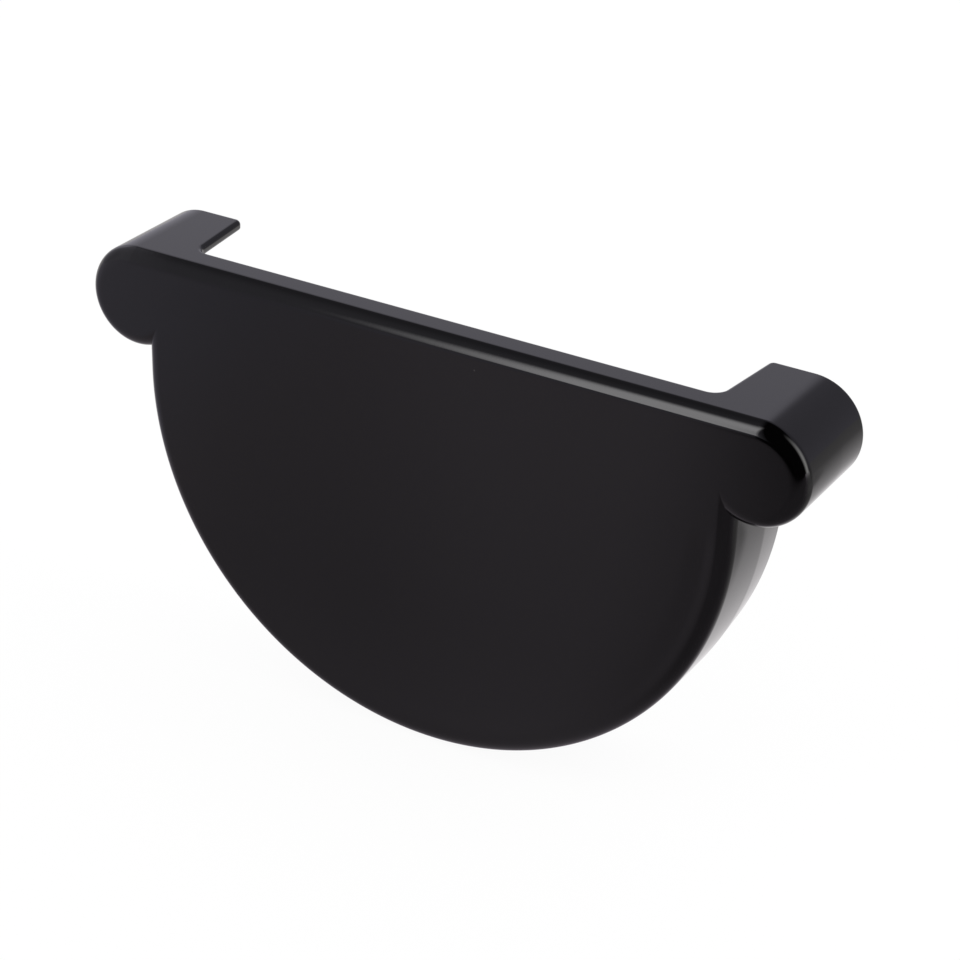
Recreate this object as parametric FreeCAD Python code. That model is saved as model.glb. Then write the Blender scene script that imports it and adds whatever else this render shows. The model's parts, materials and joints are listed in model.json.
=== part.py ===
import FreeCAD, Part
import math
import os

# End cap for a half-round gutter with a round bead along each edge, moulded in one piece.
# Frame: X across the gutter, +Y into the gutter, +Z up. The origin is on the axis of the
# half round, on the inside face of the end plate, where the gutter's end stops.
# All sizes are in millimetres.

# The gutter that the cap takes
gutter_radius = 63.6    # outside of the half-round belly
bead_radius = 8.3       # outside of the round bead on each edge
bead_spacing = 138.2    # from bead centre to bead centre
bead_rise = 14.65       # bead centres above the axis of the half round

# The moulding
fit_gap = 0.2           # gap all round between gutter and socket
wall = 2.2              # skirt and hooks
plate = 2.5             # end plate
cap_depth = 25.8        # outer face to the mouth of the socket
flange_depth = 7.85     # outer face to the rear edge of the top flange
taper_depth = 15.7      # outer face to where the outside of the belly begins to narrow
taper = 0.85            # how far the outside of the belly comes in by the mouth
hook_reach = 9.2        # bead centre to the free side of the hook at its tip
hook_spread = 1.9       # how much farther the hook reaches at its root
front_round = 3.0       # outer rim of the end plate
inner_round = 0.8       # inside corner between plate and skirt
hook_root_round = 2.8   # plan corner between hook and top flange
hook_tip_round = 1.4    # plan corner at the free end of each hook
edge_round = 1.0        # free outer edges of flange, hooks and skirt
under_round = 0.8       # underside edges of flange and hooks
lead_in = 0.3           # chamfer at the mouth of the socket

# Places worked out from the sizes
face_y = -plate
mouth_y = face_y + cap_depth
flange_y = face_y + flange_depth
taper_y = face_y + taper_depth
bead_x = bead_spacing / 2
tip_x = bead_x - hook_reach
root_x = tip_x - hook_spread
lean = hook_spread / (mouth_y - flange_y)  # slant of the hook's free side in plan
skin = fit_gap + wall
top_z = bead_rise + bead_radius + skin
under_z = top_z - wall
belly_top = bead_rise + bead_radius / 2    # the belly's sides end inside the lobes

clear = 1.0             # how far a cutting body runs past what it cuts
tiny = 1e-4             # lengths below this count as nothing
sharp_angle = 10        # degrees between two faces that meet at a sharp edge


def at(x, y, z):
    return FreeCAD.Vector(x, y, z)


def line(start, end):
    return Part.LineSegment(start, end).toShape()


def arc(start, middle, end):
    return Part.Arc(start, middle, end).toShape()


def extruded(edges, direction):
    return Part.Face(Part.Wire(edges)).extrude(direction)


def upright_block(plan):
    """Block on a plan of straight sides, from the bead centres to above the top."""
    corners = [at(x, y, bead_rise) for x, y in plan]
    sides = [line(start, end) for start, end in zip(corners, corners[1:] + corners[:1])]
    return extruded(sides, at(0, 0, top_z + clear - bead_rise))


def belly_outline(grow, y):
    """Half round with straight sides that end inside the bead lobes."""
    radius = gutter_radius + grow
    left, right = at(-radius, y, 0), at(radius, y, 0)
    left_top, right_top = at(-radius, y, belly_top), at(radius, y, belly_top)
    return [
        arc(left, at(0, y, -radius), right),
        line(right, right_top),
        line(right_top, left_top),
        line(left_top, left),
    ]


def belly(grow, y0, y1):
    return extruded(belly_outline(grow, y0), at(0, y1 - y0, 0))


def narrowing_belly():
    """The rear of the belly, from where its outside begins to narrow to the mouth."""
    ends = [belly_outline(skin, taper_y), belly_outline(skin - taper, mouth_y)]
    return Part.makeLoft([Part.Wire(edges) for edges in ends], True, True)


def head(grow, y0, y1):
    """Both bead lobes and the straight top between them, open below to the belly."""
    radius = bead_radius + grow
    right = []
    for degrees in (90, -45, -180):
        turn = math.radians(degrees)
        right.append(at(bead_x + radius * math.cos(turn), y0, bead_rise + radius * math.sin(turn)))
    left = [at(-point.x, point.y, point.z) for point in right]
    outline = [
        arc(*right),
        line(right[-1], left[-1]),
        arc(*reversed(left)),
        line(left[0], right[0]),
    ]
    return extruded(outline, at(0, y1 - y0, 0))


def outline_edges(body, y):
    """Edges of a belly or head at y, except the level one that is buried in the other body."""
    edges = []
    for edge in body.Edges:
        box = edge.BoundBox
        buried = box.ZLength < tiny and box.ZMax < belly_top + tiny
        if abs(box.YMax - y) < tiny and not buried:
            edges.append(edge)
    return edges


def worked(body, y, work_edge, size):
    """The body with its outline at y rounded or chamfered."""
    return work_edge(body, size, outline_edges(body, y))


def fused(bodies):
    return bodies[0].fuse(bodies[1:]).removeSplitter()


def whole_outline(grow, y0, y1, work_edge, size):
    """The gutter's outline grown all round, with its edge at y0 rounded or chamfered."""
    return fused([worked(make(grow, y0, y1), y0, work_edge, size) for make in (belly, head)])


def outside():
    """The cap before it is hollowed: a rounded rim in front, and a belly that narrows behind."""
    fronts = [belly(skin, face_y, taper_y), head(skin, face_y, mouth_y)]
    fronts = [worked(body, face_y, Part.Shape.makeFillet, front_round) for body in fronts]
    return fused(fronts + [narrowing_belly()])


def upright_edges(block, x, y):
    """The block's upright edges at x, on either hand, and y."""
    edges = []
    for edge in block.Edges:
        box = edge.BoundBox
        if abs(abs(box.XMin) - x) + box.XLength < tiny and abs(box.YMin - y) + box.YLength < tiny:
            edges.append(edge)
    return edges


def window():
    """Opening in the top of the skirt, from the flange to the mouth, between the two hooks."""
    back_x, back_y = tip_x + lean * clear, mouth_y + clear
    block = upright_block([(-back_x, back_y), (-root_x, flange_y), (root_x, flange_y), (back_x, back_y)])
    return block.makeFillet(hook_root_round, upright_edges(block, root_x, flange_y))


def tip_corner(side):
    """What the plan corner at the free end of one hook loses when it is rounded."""
    front_x, front_y = tip_x - lean * 2 * hook_tip_round, mouth_y - 2 * hook_tip_round
    plan = [(front_x, front_y), (tip_x, mouth_y), (bead_x, mouth_y), (bead_x, front_y)]
    block = upright_block([(side * x, y) for x, y in plan])
    return block.cut(block.makeFillet(hook_tip_round, upright_edges(block, tip_x, mouth_y)))


def under_edges(shell):
    """Underside edges of the flange and hooks round the window."""
    edges = []
    for edge in shell.Edges:
        box = edge.BoundBox
        level = abs(box.ZMin - under_z) + box.ZLength < tiny
        if level and box.YMin > flange_y - tiny and box.YMin < mouth_y - tiny:
            edges.append(edge)
    return edges


def middle_of(edge):
    return edge.valueAt((edge.FirstParameter + edge.LastParameter) / 2)


def is_sharp(shell, edge):
    point = middle_of(edge)
    faces = shell.ancestorsOfType(edge, Part.Face)
    normals = [face.normalAt(*face.Surface.parameter(point)) for face in faces]
    return math.degrees(normals[0].getAngle(normals[1])) > sharp_angle


def is_free(edge):
    """Whether the edge lies on the mouth, or on top round the window."""
    box = edge.BoundBox
    on_top = box.ZMin > top_z - tiny and box.YMin > flange_y - tiny
    return on_top or box.YMin > mouth_y - tiny


def free_edges(shell):
    """Sharp outer edges round the window and the mouth."""
    half_wall = (wall - taper) / 2
    mid_wall = whole_outline(fit_gap + half_wall, 0, mouth_y + clear, Part.Shape.makeFillet, inner_round)
    return [
        edge for edge in shell.Edges
        if is_free(edge)
        and is_sharp(shell, edge)
        and not mid_wall.isInside(middle_of(edge), tiny, True)
    ]


def end_cap():
    shell = outside()
    shell = shell.cut(whole_outline(fit_gap, 0, mouth_y + clear, Part.Shape.makeFillet, inner_round))
    shell = shell.cut(window())
    shell = shell.makeFillet(under_round, under_edges(shell))
    shell = shell.cut([tip_corner(side) for side in (-1, 1)])
    shell = shell.makeFillet(edge_round, free_edges(shell))
    flare_y = mouth_y - lead_in
    flare = whole_outline(fit_gap + lead_in, flare_y, mouth_y + clear, Part.Shape.makeChamfer, lead_in)
    return shell.cut(flare).removeSplitter().Solids[0]


os.makedirs("parts", exist_ok=True)
cap = end_cap()
print("end_cap valid", cap.isValid(), "volume", round(cap.Volume, 1), "faces", len(cap.Faces))
cap.exportStep("parts/end_cap.step")
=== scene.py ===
import json
import math

import bpy
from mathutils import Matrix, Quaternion, Vector


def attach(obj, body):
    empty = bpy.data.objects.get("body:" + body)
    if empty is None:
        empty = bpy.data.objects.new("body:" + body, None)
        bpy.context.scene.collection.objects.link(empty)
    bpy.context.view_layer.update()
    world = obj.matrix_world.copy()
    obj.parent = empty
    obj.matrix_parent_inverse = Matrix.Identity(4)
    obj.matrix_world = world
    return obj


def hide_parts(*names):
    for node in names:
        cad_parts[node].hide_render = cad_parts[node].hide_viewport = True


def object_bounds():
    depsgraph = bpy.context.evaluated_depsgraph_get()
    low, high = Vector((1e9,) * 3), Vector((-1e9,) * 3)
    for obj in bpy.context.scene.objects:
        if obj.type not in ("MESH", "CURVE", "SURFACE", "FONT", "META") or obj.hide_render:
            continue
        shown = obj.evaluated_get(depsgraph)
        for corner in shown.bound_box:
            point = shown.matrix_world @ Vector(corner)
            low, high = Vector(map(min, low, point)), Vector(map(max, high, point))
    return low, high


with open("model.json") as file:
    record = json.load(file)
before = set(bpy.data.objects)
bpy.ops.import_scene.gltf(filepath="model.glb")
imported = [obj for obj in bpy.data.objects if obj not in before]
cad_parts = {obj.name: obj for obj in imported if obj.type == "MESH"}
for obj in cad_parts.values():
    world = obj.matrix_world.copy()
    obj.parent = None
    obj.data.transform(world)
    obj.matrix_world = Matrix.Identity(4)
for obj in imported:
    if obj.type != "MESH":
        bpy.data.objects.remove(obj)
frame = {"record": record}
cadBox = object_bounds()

scene = bpy.context.scene
scene.view_settings.view_transform = "Standard"
print("frame loaded", [tuple(round(c, 4) for c in corner) for corner in cadBox])

# main sizes in metres, from the mounts and the box of the frame
mounts = {mount["name"]: mount for mount in frame["record"]["mounts"]}
beadX, _, beadZ = mounts["bead_socket_right"]["pos_m"]
beadInner = mounts["bead_socket_right"]["dims"]["r_mm"] / 1000
bellyInner = mounts["gutter_socket"]["dims"]["r_mm"] / 1000
faceY, mouthY, topZ = cadBox[0][1], cadBox[1][1], cadBox[1][2]
wall = topZ - beadZ - beadInner


def addNode(tree, kind, **settings):
    node = tree.nodes.new(kind)
    for name, value in settings.items():
        setattr(node, name, value)
    return node


def setInputs(node, **values):
    for name, value in values.items():
        node.inputs[name].default_value = value
    return node


def feed(tree, socket, value):
    # a plain value is set on the socket, another node's output is linked to it
    if isinstance(value, bpy.types.NodeSocket):
        tree.links.new(value, socket)
    else:
        socket.default_value = value


def newMaterial(name):
    material = bpy.data.materials.new(name)
    material.use_nodes = True
    return material, material.node_tree


def clearedTree(name):
    material, tree = newMaterial(name)
    tree.nodes.clear()
    return material, tree, addNode(tree, "ShaderNodeOutputMaterial")


def objectPlace(tree):
    return addNode(tree, "ShaderNodeTexCoord").outputs["Object"]


def axesOf(tree, place):
    node = addNode(tree, "ShaderNodeSeparateXYZ")
    tree.links.new(place, node.inputs[0])
    return [node.outputs[name] for name in "XYZ"]


def mathNode(tree, operation, first, *others):
    for other in others:
        node = addNode(tree, "ShaderNodeMath", operation=operation)
        feed(tree, node.inputs[0], first)
        feed(tree, node.inputs[1], other)
        first = node.outputs[0]
    return first


def rampNode(tree, value, start, end, low=0.0, high=1.0):
    node = addNode(tree, "ShaderNodeMapRange", interpolation_type="SMOOTHSTEP")
    names = ("Value", "From Min", "From Max", "To Min", "To Max")
    for name, number in zip(names, (value, start, end, low, high)):
        feed(tree, node.inputs[name], number)
    return node.outputs["Result"]


def mixColour(tree, share, first, second):
    node = addNode(tree, "ShaderNodeMix", data_type="RGBA")
    for index, value in ((0, share), (6, first), (7, second)):  # sockets of the factor and the two colours
        feed(tree, node.inputs[index], value)
    return node.outputs[2]


def mixShader(tree, share, first, second):
    node = addNode(tree, "ShaderNodeMixShader")
    for socket, value in zip(node.inputs, (share, first, second)):
        feed(tree, socket, value)
    return node.outputs[0]


def noiseNode(tree, place, scale, detail):
    node = setInputs(addNode(tree, "ShaderNodeTexNoise"), Scale=scale, Detail=detail)
    tree.links.new(place, node.inputs["Vector"])
    return node.outputs["Fac"]


# black gloss plastic; lengths in metres, noise scales per metre
plasticLook = {
    "colour": (0.0008, 0.0007, 0.0008, 1.0),
    "ior": 1.5,
    "roughness": (0.045, 0.085),                     # cleanest and most handled places
    "smudges": {"scale": 38.0, "detail": 5.0, "span": (0.35, 0.7)},
    "scratches": {"scale": (70.0, 70.0, 2600.0), "turn": (0.3, 0.5, 0.2), "span": (0.70, 0.76),
                  "rougher": 0.06},
    "waves": {"scale": 48.0, "height": 0.000012},    # slight unevenness of a moulding
    "peel": {"scale": 1500.0, "height": 0.0000012},  # orange peel
    "groove": {"inset": (0.0030, 0.0050, 0.0095), "depth": 0.00006,  # faint, inside the rim at lower right
               "across": (-0.02, 0.02), "down": (0.004, -0.004)},
    "dust": {"scale": 620.0, "share": 0.996, "size": (0.10, 0.05), "rougher": 0.5,
             "colour": (0.16, 0.155, 0.15, 1.0)},
}


def makeGroove(tree, place):
    # 1 along a groove on the outer face, at some distance inside the belly's outline
    groove = plasticLook["groove"]
    outer, middle, inner = groove["inset"]
    x, y, z = axesOf(tree, place)
    flat = addNode(tree, "ShaderNodeCombineXYZ")
    tree.links.new(x, flat.inputs["X"])
    tree.links.new(mathNode(tree, "MINIMUM", z, 0.0), flat.inputs["Z"])
    reach = addNode(tree, "ShaderNodeVectorMath", operation="LENGTH")
    tree.links.new(flat.outputs[0], reach.inputs[0])
    inset = mathNode(tree, "SUBTRACT", bellyInner + wall, reach.outputs["Value"])
    sides = [rampNode(tree, inset, border, middle) for border in (outer, inner)]
    ends = rampNode(tree, x, *groove["across"]), rampNode(tree, z, *groove["down"])
    onFace = mathNode(tree, "LESS_THAN", y, faceY / 2)
    return mathNode(tree, "MULTIPLY", *sides, *ends, onFace)


def makePlastic():
    material, tree = newMaterial("blackPlastic")
    shader = setInputs(tree.nodes["Principled BSDF"], IOR=plasticLook["ior"])
    place = objectPlace(tree)

    # handling marks and fine scratches in the gloss
    smudges, scratches = plasticLook["smudges"], plasticLook["scratches"]
    handled = noiseNode(tree, place, smudges["scale"], smudges["detail"])
    smudge = rampNode(tree, handled, *smudges["span"], *plasticLook["roughness"])
    turned = addNode(tree, "ShaderNodeMapping")
    setInputs(turned, Rotation=scratches["turn"], Scale=scratches["scale"])
    tree.links.new(place, turned.inputs["Vector"])
    lines = noiseNode(tree, turned.outputs["Vector"], 1.0, 1.0)
    scratched = rampNode(tree, lines, *scratches["span"], 0.0, scratches["rougher"])

    # a few specks of dust
    dust = plasticLook["dust"]
    cells = setInputs(addNode(tree, "ShaderNodeTexVoronoi"), Scale=dust["scale"])
    tree.links.new(place, cells.inputs["Vector"])
    chance = addNode(tree, "ShaderNodeSeparateColor")
    tree.links.new(cells.outputs["Color"], chance.inputs["Color"])
    picked = mathNode(tree, "GREATER_THAN", chance.outputs["Red"], dust["share"])
    speck = mathNode(tree, "MULTIPLY", picked, rampNode(tree, cells.outputs["Distance"], *dust["size"]))
    colour = mixColour(tree, speck, plasticLook["colour"], dust["colour"])
    tree.links.new(colour, shader.inputs["Base Color"])
    dusty = mathNode(tree, "MULTIPLY", speck, dust["rougher"])
    tree.links.new(mathNode(tree, "ADD", smudge, scratched, dusty), shader.inputs["Roughness"])

    # slow waves, orange peel and the groove
    layers = [(layer["height"], noiseNode(tree, place, layer["scale"], 1.0))
              for layer in (plasticLook["waves"], plasticLook["peel"])]
    layers.append((-plasticLook["groove"]["depth"], makeGroove(tree, place)))
    normal = None
    for distance, height in layers:
        bump = setInputs(addNode(tree, "ShaderNodeBump"), Distance=distance)
        tree.links.new(height, bump.inputs["Height"])
        if normal is not None:
            tree.links.new(normal, bump.inputs["Normal"])
        normal = bump.outputs["Normal"]
    tree.links.new(normal, shader.inputs["Normal"])
    return material


plastic = makePlastic()
print("plastic made")

# rest of the cap's shape, in metres
capShape = {
    "flangeY": 0.00535,      # rear edge of the top flange
    "taperY": 0.0132,        # where the outside of the belly begins to narrow
    "taper": 0.00085,        # how far it comes in by the mouth
    "taperBlend": 0.0012,    # length of the soft bend there
    "hookReach": 0.0092,     # bead centre to the free side of a hook at its tip
    "hookSpread": 0.0019,    # how much farther it reaches at its root
    "rimRound": 0.003,
    "innerRound": 0.0008,
    "rootRound": 0.0028,
    "tipRound": 0.0014,
    "edgeRound": 0.001,
    "underRound": 0.0008,    # underside edge of hooks and flange
    "leadIn": 0.0003,
    "flatBorder": 0.0004,    # narrow flat ring that keeps the plate's shading flat
    "sharpFrom": 35.0,       # degrees
    "flatWeight": 100,       # how much large faces rule the shading, 50 for not at all
    "steps": {"lobe": 72, "top": 24, "side": 4, "belly": 160, "rim": 18, "edge": 9, "under": 6, "inner": 6,
              "hookRear": 4, "tip": 12, "hookSide": 6, "root": 14, "flange": 24},
}


def blend(first, last, steps):
    return [first + (last - first) * step / steps for step in range(steps + 1)]


def quarter(steps):
    return blend(0.0, math.pi / 2, steps)


def roundOff(radius, turn):
    return radius * (1 - math.sin(turn)), radius * (1 - math.cos(turn))


def narrowing(y):
    share = (y - capShape["taperY"]) / (mouthY - capShape["taperY"])
    return capShape["taper"] * max(0.0, share)


def outlinePoints(inset, narrower=0.0):
    # right lobe, top, left lobe and belly of the outline, moved into the wall by inset
    steps = capShape["steps"]
    lobe, belly = beadInner + wall - inset, bellyInner + wall - inset - narrower
    notchZ = beadZ - math.sqrt(lobe ** 2 - (beadX - belly) ** 2)
    notchTurn = math.atan2(notchZ - beadZ, belly - beadX)
    rightLobe = [(beadX + lobe * math.cos(turn), beadZ + lobe * math.sin(turn))
                 for turn in blend(notchTurn, math.pi / 2, steps["lobe"])]
    top = [(x, beadZ + lobe) for x in blend(beadX, -beadX, steps["top"])][1:-1]
    leftLobe = [(-x, z) for x, z in reversed(rightLobe)]
    leftSide = [(-belly, z) for z in blend(notchZ, 0.0, steps["side"])][1:]
    halfRound = [(belly * math.cos(turn), belly * math.sin(turn))
                 for turn in blend(math.pi, 2 * math.pi, steps["belly"])][1:-1]
    rightSide = [(-x, z) for x, z in reversed(leftSide)]
    return rightLobe, top, leftLobe, leftSide + halfRound + rightSide


def outlineRows(y, inset, narrower):
    return [[(x, y, z) for x, z in part] for part in outlinePoints(inset, narrower)]


def windowPath():
    # plan path of the free edge from the right bead to the left one
    # each step has its place, its outward direction and its share of the round below
    steps = capShape["steps"]
    tip, root, flangeY = capShape["tipRound"], capShape["rootRound"], capShape["flangeY"]
    tipX = beadX - capShape["hookReach"]
    rootX = tipX - capShape["hookSpread"]
    lean = (tipX - rootX) / (mouthY - flangeY)
    reach = math.hypot(1.0, lean) - lean
    sideTurn = math.pi - math.atan(lean)  # outward direction of the hook's free side
    tipCentre = (tipX + tip * reach, mouthY - tip)
    rootCentre = (rootX - root * reach, flangeY + root)
    path = [(x, mouthY, 0.0, 1.0, 0.0) for x in blend(beadX, tipCentre[0], steps["hookRear"])[1:-1]]
    for turn in blend(math.pi / 2, sideTurn, steps["tip"]):
        outX, outY = math.cos(turn), math.sin(turn)
        share = (turn - math.pi / 2) / (sideTurn - math.pi / 2)
        path.append((tipCentre[0] + tip * outX, tipCentre[1] + tip * outY, outX, outY, share))
    arc = []
    for turn in blend(sideTurn, math.pi / 2, steps["root"]):
        outX, outY = math.cos(turn), math.sin(turn)
        arc.append((rootCentre[0] - root * outX, rootCentre[1] - root * outY, outX, outY, 1.0))
    sideX, sideY = (blend(path[-1][axis], arc[0][axis], steps["hookSide"])[1:-1] for axis in (0, 1))
    path += [(x, y, *arc[0][2:]) for x, y in zip(sideX, sideY)] + arc
    mirrored = [(-x, y, -outX, outY, share) for x, y, outX, outY, share in reversed(path)]
    flangeX = blend(path[-1][0], mirrored[0][0], steps["flange"])[1:-1]
    return path + [(x, flangeY, 0.0, 1.0, 1.0) for x in flangeX] + mirrored


def makeCapMesh():
    vertices, faces = [], []

    def addLoop(points):
        start = len(vertices)
        vertices.extend(points)
        return list(range(start, len(vertices)))

    def outlineLoop(inset, y):
        return addLoop([point for part in outlineRows(y, inset, 0.0) for point in part])

    def joinLoops(first, second, closed=True):
        count = len(first) if closed else len(first) - 1
        for index in range(count):
            after = (index + 1) % len(first)
            faces.append((first[index], first[after], second[after], second[index]))

    rim, edge, under = capShape["rimRound"], capShape["edgeRound"], capShape["underRound"]
    leadIn, inner, border = capShape["leadIn"], capShape["innerRound"], capShape["flatBorder"]
    steps = capShape["steps"]
    lobeCount, topCount = (len(part) for part in outlinePoints(0.0)[:2])

    # front plate and rounded rim
    frontRows = [(rim + border, faceY)]
    for turn in quarter(steps["rim"]):
        inset, back = roundOff(rim, turn)
        frontRows.append((inset, faceY + back))
    front = [outlineLoop(inset, y) for inset, y in frontRows]
    faces.append(tuple(front[0]))
    for first, second in zip(front, front[1:]):
        joinLoops(second, first)

    # free edge all round the mouth and the window: round, flat wall, then a chamfer or a round below
    path = windowPath()
    mouth = []
    rows = [(roundOff(edge, turn),) * 2 for turn in quarter(steps["edge"])]
    for turn, part in zip(quarter(steps["under"]), blend(0.0, leadIn, steps["under"])):
        rise, back = roundOff(under, turn)
        rows.append(((part, wall - leadIn + part), (back, wall - rise)))
    for index, (chamfered, rounded) in enumerate(rows):
        back, drop = chamfered
        narrower = narrowing(mouthY - back) if index <= steps["edge"] else 0.0
        rightLobe, _, leftLobe, belly = outlineRows(mouthY - back, drop, narrower)
        window = []
        for x, y, outX, outY, share in path:
            back, drop = (first + (second - first) * share for first, second in zip(chamfered, rounded))
            window.append((x - outX * back, y - outY * back, topZ - drop))
        mouth.append(addLoop(rightLobe + window + leftLobe + belly))
    for first, second in zip(mouth, mouth[1:]):
        joinLoops(second, first)

    # inside corner and inside of the plate
    insideRows = []
    for turn in quarter(steps["inner"]):
        back, inset = roundOff(inner, turn)
        insideRows.append((wall + inset, back))
    insideRows.append((wall + inner + border, 0.0))
    inside = [outlineLoop(inset, y) for inset, y in insideRows]
    faces.append(tuple(reversed(inside[-1])))
    for first, second in zip(inside, inside[1:]):
        joinLoops(second, first)

    # skirt and lobes, outside and inside, then the flat of the flange and hooks above and below
    def skirtOf(loop, between):
        leftFrom = lobeCount + between
        return loop[leftFrom:] + loop[:lobeCount]

    def topOf(loop, between):
        return loop[lobeCount - 1:lobeCount + between + 1]

    def bendRow(y):
        rightLobe, _, leftLobe, belly = outlineRows(y, 0.0, narrowing(y))
        return addLoop(leftLobe + belly + rightLobe)

    halfBend = capShape["taperBlend"] / 2
    bends = [bendRow(capShape["taperY"] + shift) for shift in (-halfBend, halfBend)]
    for outlineRow, between, mouthRow, outside in ((front[-1], bends, mouth[0], True),
                                                   (inside[0], [], mouth[-1], False)):
        rows = [skirtOf(outlineRow, topCount)] + between + [skirtOf(mouthRow, len(path))]
        for first, second in zip(rows, rows[1:]):
            joinLoops(*((second, first) if outside else (first, second)), closed=False)
        leftEnds, rightEnds = [row[0] for row in between], [row[-1] for row in between]
        flat = topOf(mouthRow, len(path)) + leftEnds[::-1] + topOf(outlineRow, topCount)[::-1] + rightEnds
        faces.append(tuple(reversed(flat)) if outside else tuple(flat))

    mesh = bpy.data.meshes.new("endCap")
    mesh.from_pydata(vertices, [], faces)
    mesh.validate()
    mesh.shade_smooth()
    mesh.set_sharp_from_angle(angle=math.radians(capShape["sharpFrom"]))
    return mesh


def makeCap():
    cap = bpy.data.objects.new("endCap", makeCapMesh())
    scene.collection.objects.link(cap)
    cap.data.materials.append(plastic)
    weighted = cap.modifiers.new("flatNormals", "WEIGHTED_NORMAL")  # flats stay flat beside their rounds
    weighted.keep_sharp = True
    weighted.weight = capShape["flatWeight"]
    evaluated = cap.evaluated_get(bpy.context.evaluated_depsgraph_get())
    finished = bpy.data.meshes.new_from_object(evaluated)
    cap.modifiers.clear()
    cap.data = finished
    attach(cap, "root")
    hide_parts("end_cap")
    return cap


cap = makeCap()
print("cap made", len(cap.data.polygons), "faces")


def flatPanel(name, halfX, halfY, level=0.0):
    mesh = bpy.data.meshes.new(name)
    corners = [(x * halfX, y * halfY, level) for x, y in ((-1, -1), (1, -1), (1, 1), (-1, 1))]
    mesh.from_pydata(corners, [], [(0, 1, 2, 3)])
    panel = bpy.data.objects.new(name, mesh)
    scene.collection.objects.link(panel)
    return panel


# pale floor; glossy rays see a painted reflection on it: painted light bright behind the cap, dim in front,
# and painted shade dark to the front right
# spans of what it mirrors: from, to, level at from, level at to; a slope leans the span, as x - slope * y
floorLook = {
    "half": 2.1,
    "whiteness": 0.8,
    "paper": 0.92,                # share of plain white that the camera sees, the rest keeps the shadow
    "white": 1.02,
    "front": {"slope": 0.685, "left": (-0.108, -0.038, 0.42, 0.307), "middle": (-0.02, 0.035, 0.0, 0.06),
              "away": (0.0, -0.17, 0.0, 0.09), "near": (-0.05, 0.0, 0.0, 0.04)},
    # painted shade to the front right
    "dark": {"slope": 0.364, "edge": (0.026, 0.082), "depth": (-0.08, -0.30, 0.5, 1.0)},
    "back": {"left": (-0.12, 0.0, 0.70, 0.95), "near": (0.055, 0.11, 0.0, 0.17),
             "far": (0.06, 0.28, 0.0, 0.43)},
    "shade": {"slope": 0.8576, "edge": (0.01415, 0.01758), "span": (0.055, 0.125, 0.0, 0.5),
              "fade": (0.15, 0.24, 1.0, 0.2)},  # painted shadow of the cap, which runs out behind on the right
    "wing": {"slopes": (-8.33, 2.0), "edges": ((-0.33, 0.33), (-0.1, 0.1)),
             "near": (0.14, 0.26, 0.0, 0.18), "far": (0.3, 1.3, 0.0, 1.2)},  # painted pool of light far out on the right
    "backSpan": (0.0, 0.05),      # from front to back
    "leftSpan": (-0.165, -0.105),
    # tints of the painted reflection, not of the floor's own colour
    "tints": {"left": (1.0, 0.95, 1.12, 1.0), "front": (1.0, 0.905, 1.015, 1.0),
              "back": (1.0, 0.97, 0.985, 1.0)},
}


def makePaintedFloorReflection(tree, place):
    # level and tint of the painted reflection that glossy rays see on the floor, its painted light and
    # painted shade included
    x, y, _ = axesOf(tree, place)
    front, dark, back = floorLook["front"], floorLook["dark"], floorLook["back"]
    shade, wing, tints = floorLook["shade"], floorLook["wing"], floorLook["tints"]

    def ramp(value, span):
        return rampNode(tree, value, *span)

    def slanted(slope):
        return mathNode(tree, "SUBTRACT", x, mathNode(tree, "MULTIPLY", y, slope))

    def total(*values):
        return mathNode(tree, "ADD", *values)

    def product(*values):
        return mathNode(tree, "MULTIPLY", *values)

    def without(share):
        return mathNode(tree, "SUBTRACT", 1.0, share)

    across = slanted(front["slope"])
    frontGlow = total(ramp(across, front["left"]), ramp(across, front["middle"]),
                      ramp(y, front["away"]), ramp(y, front["near"]))
    # painted shade to the front right
    paintedShade = product(ramp(slanted(dark["slope"]), dark["edge"]), ramp(y, dark["depth"]))
    dimming = total(ramp(x, back["near"]), ramp(x, back["far"]))
    backGlow = mathNode(tree, "SUBTRACT", ramp(x, back["left"]), dimming)
    # painted shadow of the cap behind on the right
    shading = product(ramp(slanted(shade["slope"]), shade["edge"]),
                      ramp(x, shade["span"]), ramp(x, shade["fade"]))
    # painted pool of light far out on the right
    sides = [ramp(slanted(slope), edge) for slope, edge in zip(wing["slopes"], wing["edges"])]
    paintedPool = product(*sides, total(ramp(x, wing["near"]), ramp(x, wing["far"])))
    behind = ramp(y, floorLook["backSpan"])
    frontPart = product(frontGlow, without(paintedShade), without(behind))
    backPart = product(backGlow, without(shading), behind)
    frontTint = mixColour(tree, ramp(x, floorLook["leftSpan"]), tints["left"], tints["front"])
    return total(frontPart, backPart, paintedPool), mixColour(tree, behind, frontTint, tints["back"])


def makeFloor():
    floor = flatPanel("floor", floorLook["half"], floorLook["half"], cadBox[0][2])
    material, tree, output = clearedTree("floorWhite")
    grey = (floorLook["whiteness"],) * 3
    diffuse = setInputs(addNode(tree, "ShaderNodeBsdfDiffuse"), Color=(*grey, 1.0)).outputs[0]
    white = setInputs(addNode(tree, "ShaderNodeEmission"), Strength=floorLook["white"]).outputs[0]
    # painted reflection: glossy rays see this glow in place of the lit floor
    glow = addNode(tree, "ShaderNodeEmission")
    strength, tint = makePaintedFloorReflection(tree, objectPlace(tree))
    tree.links.new(strength, glow.inputs["Strength"])
    tree.links.new(tint, glow.inputs["Color"])
    path = addNode(tree, "ShaderNodeLightPath")
    mirrored = mixShader(tree, path.outputs["Is Glossy Ray"], diffuse, glow.outputs[0])
    seen = mixShader(tree, floorLook["paper"], diffuse, white)
    both = mixShader(tree, path.outputs["Is Camera Ray"], mirrored, seen)
    tree.links.new(both, output.inputs["Surface"])
    floor.data.materials.append(material)


makeFloor()
print("floor made")


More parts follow.
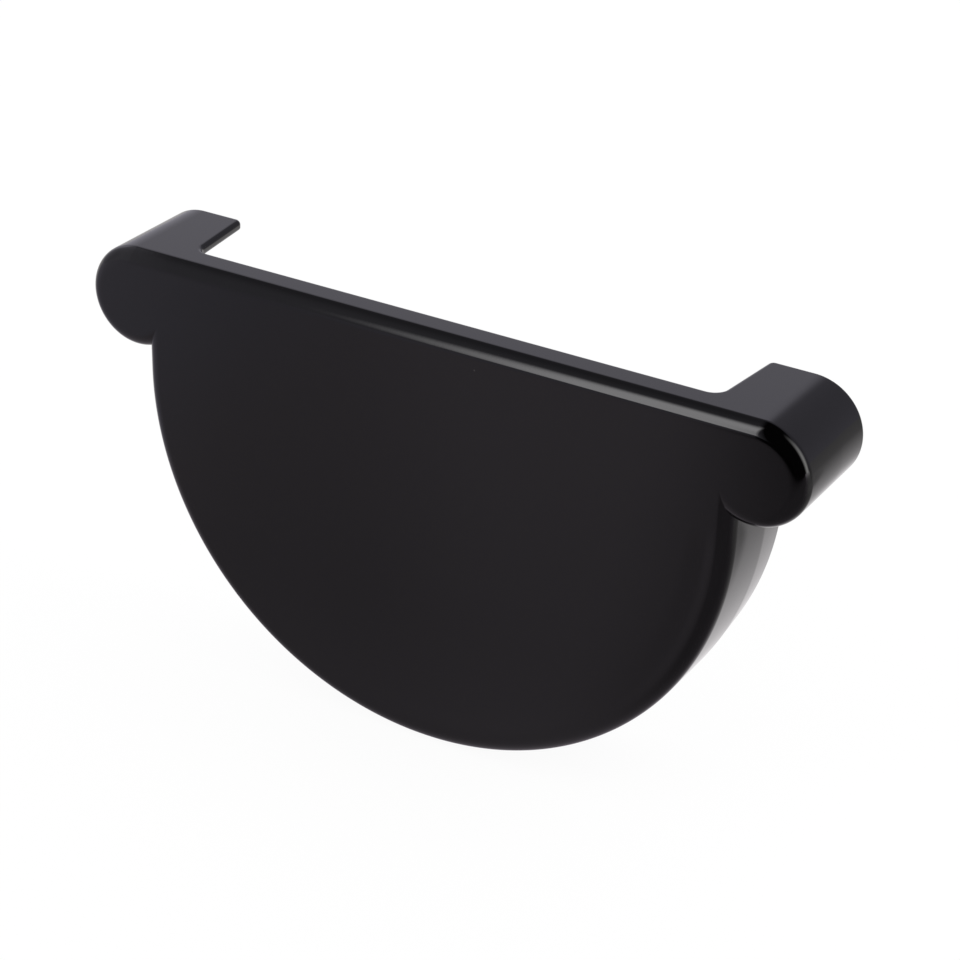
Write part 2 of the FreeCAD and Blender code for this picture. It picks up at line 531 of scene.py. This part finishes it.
def direction(azimuth, elevation):
    # 0 is behind the cap, 90 to its right
    azimuth, elevation = math.radians(azimuth), math.radians(elevation)
    level = math.cos(elevation)
    return Vector((math.sin(azimuth) * level, math.cos(azimuth) * level, math.sin(elevation)))


# studio sheets and lamps, placed by the direction in which the cap sees them
# soft gives the fading borders on the low-azimuth side, the high one, below and above
studio = {
    "frontStrip": {"azimuth": -152.3, "elevation": 38, "roll": -8.5, "distance": 2.0, "size": (0.605, 2.9),
                   "glow": 3.85, "soft": (0.20, 0.30, 0.1, 1.35), "colour": (1.0, 0.99, 1.0, 1.0)},
    "rightLamp": {"azimuth": 78, "elevation": 26, "roll": 0, "distance": 2.0, "size": (1.4, 3.8),
                  "glow": 3.4, "soft": (0.7, 0.7, 0.1, 2.2), "colour": (1.0, 0.99, 0.98, 1.0)},
    "backSheet": {"azimuth": -36.5, "elevation": 14, "roll": 0, "distance": 2.2, "size": (3.13, 2.1),
                  "glow": 0.545, "soft": (0.8, 1.2, 0.1, 0.3), "colour": (1.0, 0.975, 1.11, 1.0)},
    "rearSheet": {"azimuth": 22, "elevation": 24, "roll": 0, "distance": 2.6, "size": (4.68, 3.64),
                  "glow": 0.33, "soft": (1.2, 0.3, 0.1, 0.6), "colour": (1.0, 0.965, 1.13, 1.0)},
}
borderNames = ("Low", "High", "Below", "Above")


def makeSoftBorders():
    # group that gives the share of a sheet's glow, which fades at each border over its own width
    group = bpy.data.node_groups.new("softBorders", "ShaderNodeTree")
    for name in ("Place", "Half"):
        group.interface.new_socket(name, in_out="INPUT", socket_type="NodeSocketVector")
    for name in borderNames:
        group.interface.new_socket(name, in_out="INPUT", socket_type="NodeSocketFloat")
    group.interface.new_socket("Share", in_out="OUTPUT", socket_type="NodeSocketFloat")
    given = addNode(group, "NodeGroupInput").outputs
    place, half = axesOf(group, given["Place"]), axesOf(group, given["Half"])
    insets = [mathNode(group, operation, half[axis], place[axis])
              for axis in (0, 1) for operation in ("ADD", "SUBTRACT")]
    shares = [rampNode(group, inset, 0.0, given[name]) for inset, name in zip(insets, borderNames)]
    group.links.new(mathNode(group, "MULTIPLY", *shares), addNode(group, "NodeGroupOutput").inputs["Share"])
    return group


def makeSheet(name, sheet, softBorders):
    towards = direction(sheet["azimuth"], sheet["elevation"])
    halfX, halfY = (side / 2 for side in sheet["size"])
    panel = flatPanel(name, halfX, halfY)
    panel.location = towards * sheet["distance"]
    panel.rotation_mode = "QUATERNION"
    turned = Quaternion((0, 0, 1), math.radians(sheet["roll"]))
    panel.rotation_quaternion = (-towards).to_track_quat("Z", "Y") @ turned
    panel.visible_camera = False
    panel.visible_shadow = False
    material, tree, output = clearedTree(name)
    borders = setInputs(addNode(tree, "ShaderNodeGroup", node_tree=softBorders), Half=(halfX, halfY, 0.0),
                        **dict(zip(borderNames, sheet["soft"])))
    tree.links.new(objectPlace(tree), borders.inputs["Place"])
    faded = mixColour(tree, borders.outputs["Share"], (0.0, 0.0, 0.0, 1.0), sheet["colour"])
    emission = setInputs(addNode(tree, "ShaderNodeEmission"), Strength=sheet["glow"])
    tree.links.new(faded, emission.inputs["Color"])
    clear = addNode(tree, "ShaderNodeBsdfTransparent")  # light from farther sheets comes through
    both = addNode(tree, "ShaderNodeAddShader")
    tree.links.new(emission.outputs[0], both.inputs[0])
    tree.links.new(clear.outputs[0], both.inputs[1])
    tree.links.new(both.outputs[0], output.inputs["Surface"])
    panel.data.materials.append(material)


softBorders = makeSoftBorders()
for sheetName, sheetValues in studio.items():
    makeSheet(sheetName, sheetValues, softBorders)
print("studio sheets", len(studio))

# the room: white to the camera, plain soft light, dim where the gloss mirrors it
room = {
    "seen": (1.0, 1.0, 1.0, 1.0),
    "light": (0.8, 0.8, 0.8, 1.0),
    "mirrored": (0.38, 0.15),         # in front and behind, on the left
    "mirroredSpan": (-0.65, 0.55),
    "darkSide": (-0.34, -0.15),       # it goes dark to the right
    "leftEdge": (-0.573, -0.561),     # and is brighter to the left of this
    "leftGlow": (0.43, 0.58),
    "leftSpan": (-0.95, -0.75),
    "leftBack": (0.35, 0.60),         # not behind this
    "colour": (1.0, 0.97, 1.10, 1.0),
}


def makeRoom():
    world = bpy.data.worlds.new("room")
    scene.world = world
    world.use_nodes = True
    tree = world.node_tree
    tree.nodes.clear()
    output = addNode(tree, "ShaderNodeOutputWorld")
    x, y, _ = axesOf(tree, addNode(tree, "ShaderNodeTexCoord").outputs["Generated"])
    plain = mathNode(tree, "MULTIPLY", rampNode(tree, y, *room["mirroredSpan"], *room["mirrored"]),
                     rampNode(tree, x, *room["darkSide"], 1.0, 0.0))
    left = mathNode(tree, "MULTIPLY", rampNode(tree, x, *room["leftEdge"], 1.0, 0.0),
                    rampNode(tree, y, *room["leftBack"], 1.0, 0.0))
    brighter = mathNode(tree, "SUBTRACT", rampNode(tree, x, *room["leftSpan"], *room["leftGlow"]), plain)
    mirrored = mathNode(tree, "ADD", plain, mathNode(tree, "MULTIPLY", left, brighter))
    light, dim, seen = (setInputs(addNode(tree, "ShaderNodeBackground"), Color=room[name])
                        for name in ("light", "colour", "seen"))
    tree.links.new(mirrored, dim.inputs["Strength"])
    path = addNode(tree, "ShaderNodeLightPath")
    unseen = mixShader(tree, path.outputs["Is Glossy Ray"], light.outputs[0], dim.outputs[0])
    both = mixShader(tree, path.outputs["Is Camera Ray"], unseen, seen.outputs[0])
    tree.links.new(both, output.inputs["Surface"])


makeRoom()
print("room made")

# camera; its azimuth runs from the front to the right
view = {
    "aim": (0.00652, 0.00899, -0.00936),
    "distance": 0.52154,
    "azimuth": 30.116,
    "elevation": 28.167,
    "roll": 1.597,
    "lens": 99.57,
    "sensor": 36.0,
    "clipStart": 0.01,
}


def makeCamera():
    back = direction(180 - view["azimuth"], view["elevation"])
    camera = bpy.data.objects.new("camera", bpy.data.cameras.new("camera"))
    camera.data.lens = view["lens"]
    camera.data.sensor_width = view["sensor"]
    camera.data.clip_start = view["clipStart"]
    camera.location = Vector(view["aim"]) + back * view["distance"]
    camera.rotation_mode = "QUATERNION"
    rolled = Quaternion((0, 0, 1), math.radians(view["roll"]))
    camera.rotation_quaternion = (-back).to_track_quat("-Z", "Y") @ rolled
    scene.collection.objects.link(camera)
    scene.camera = camera


makeCamera()
print("camera made")
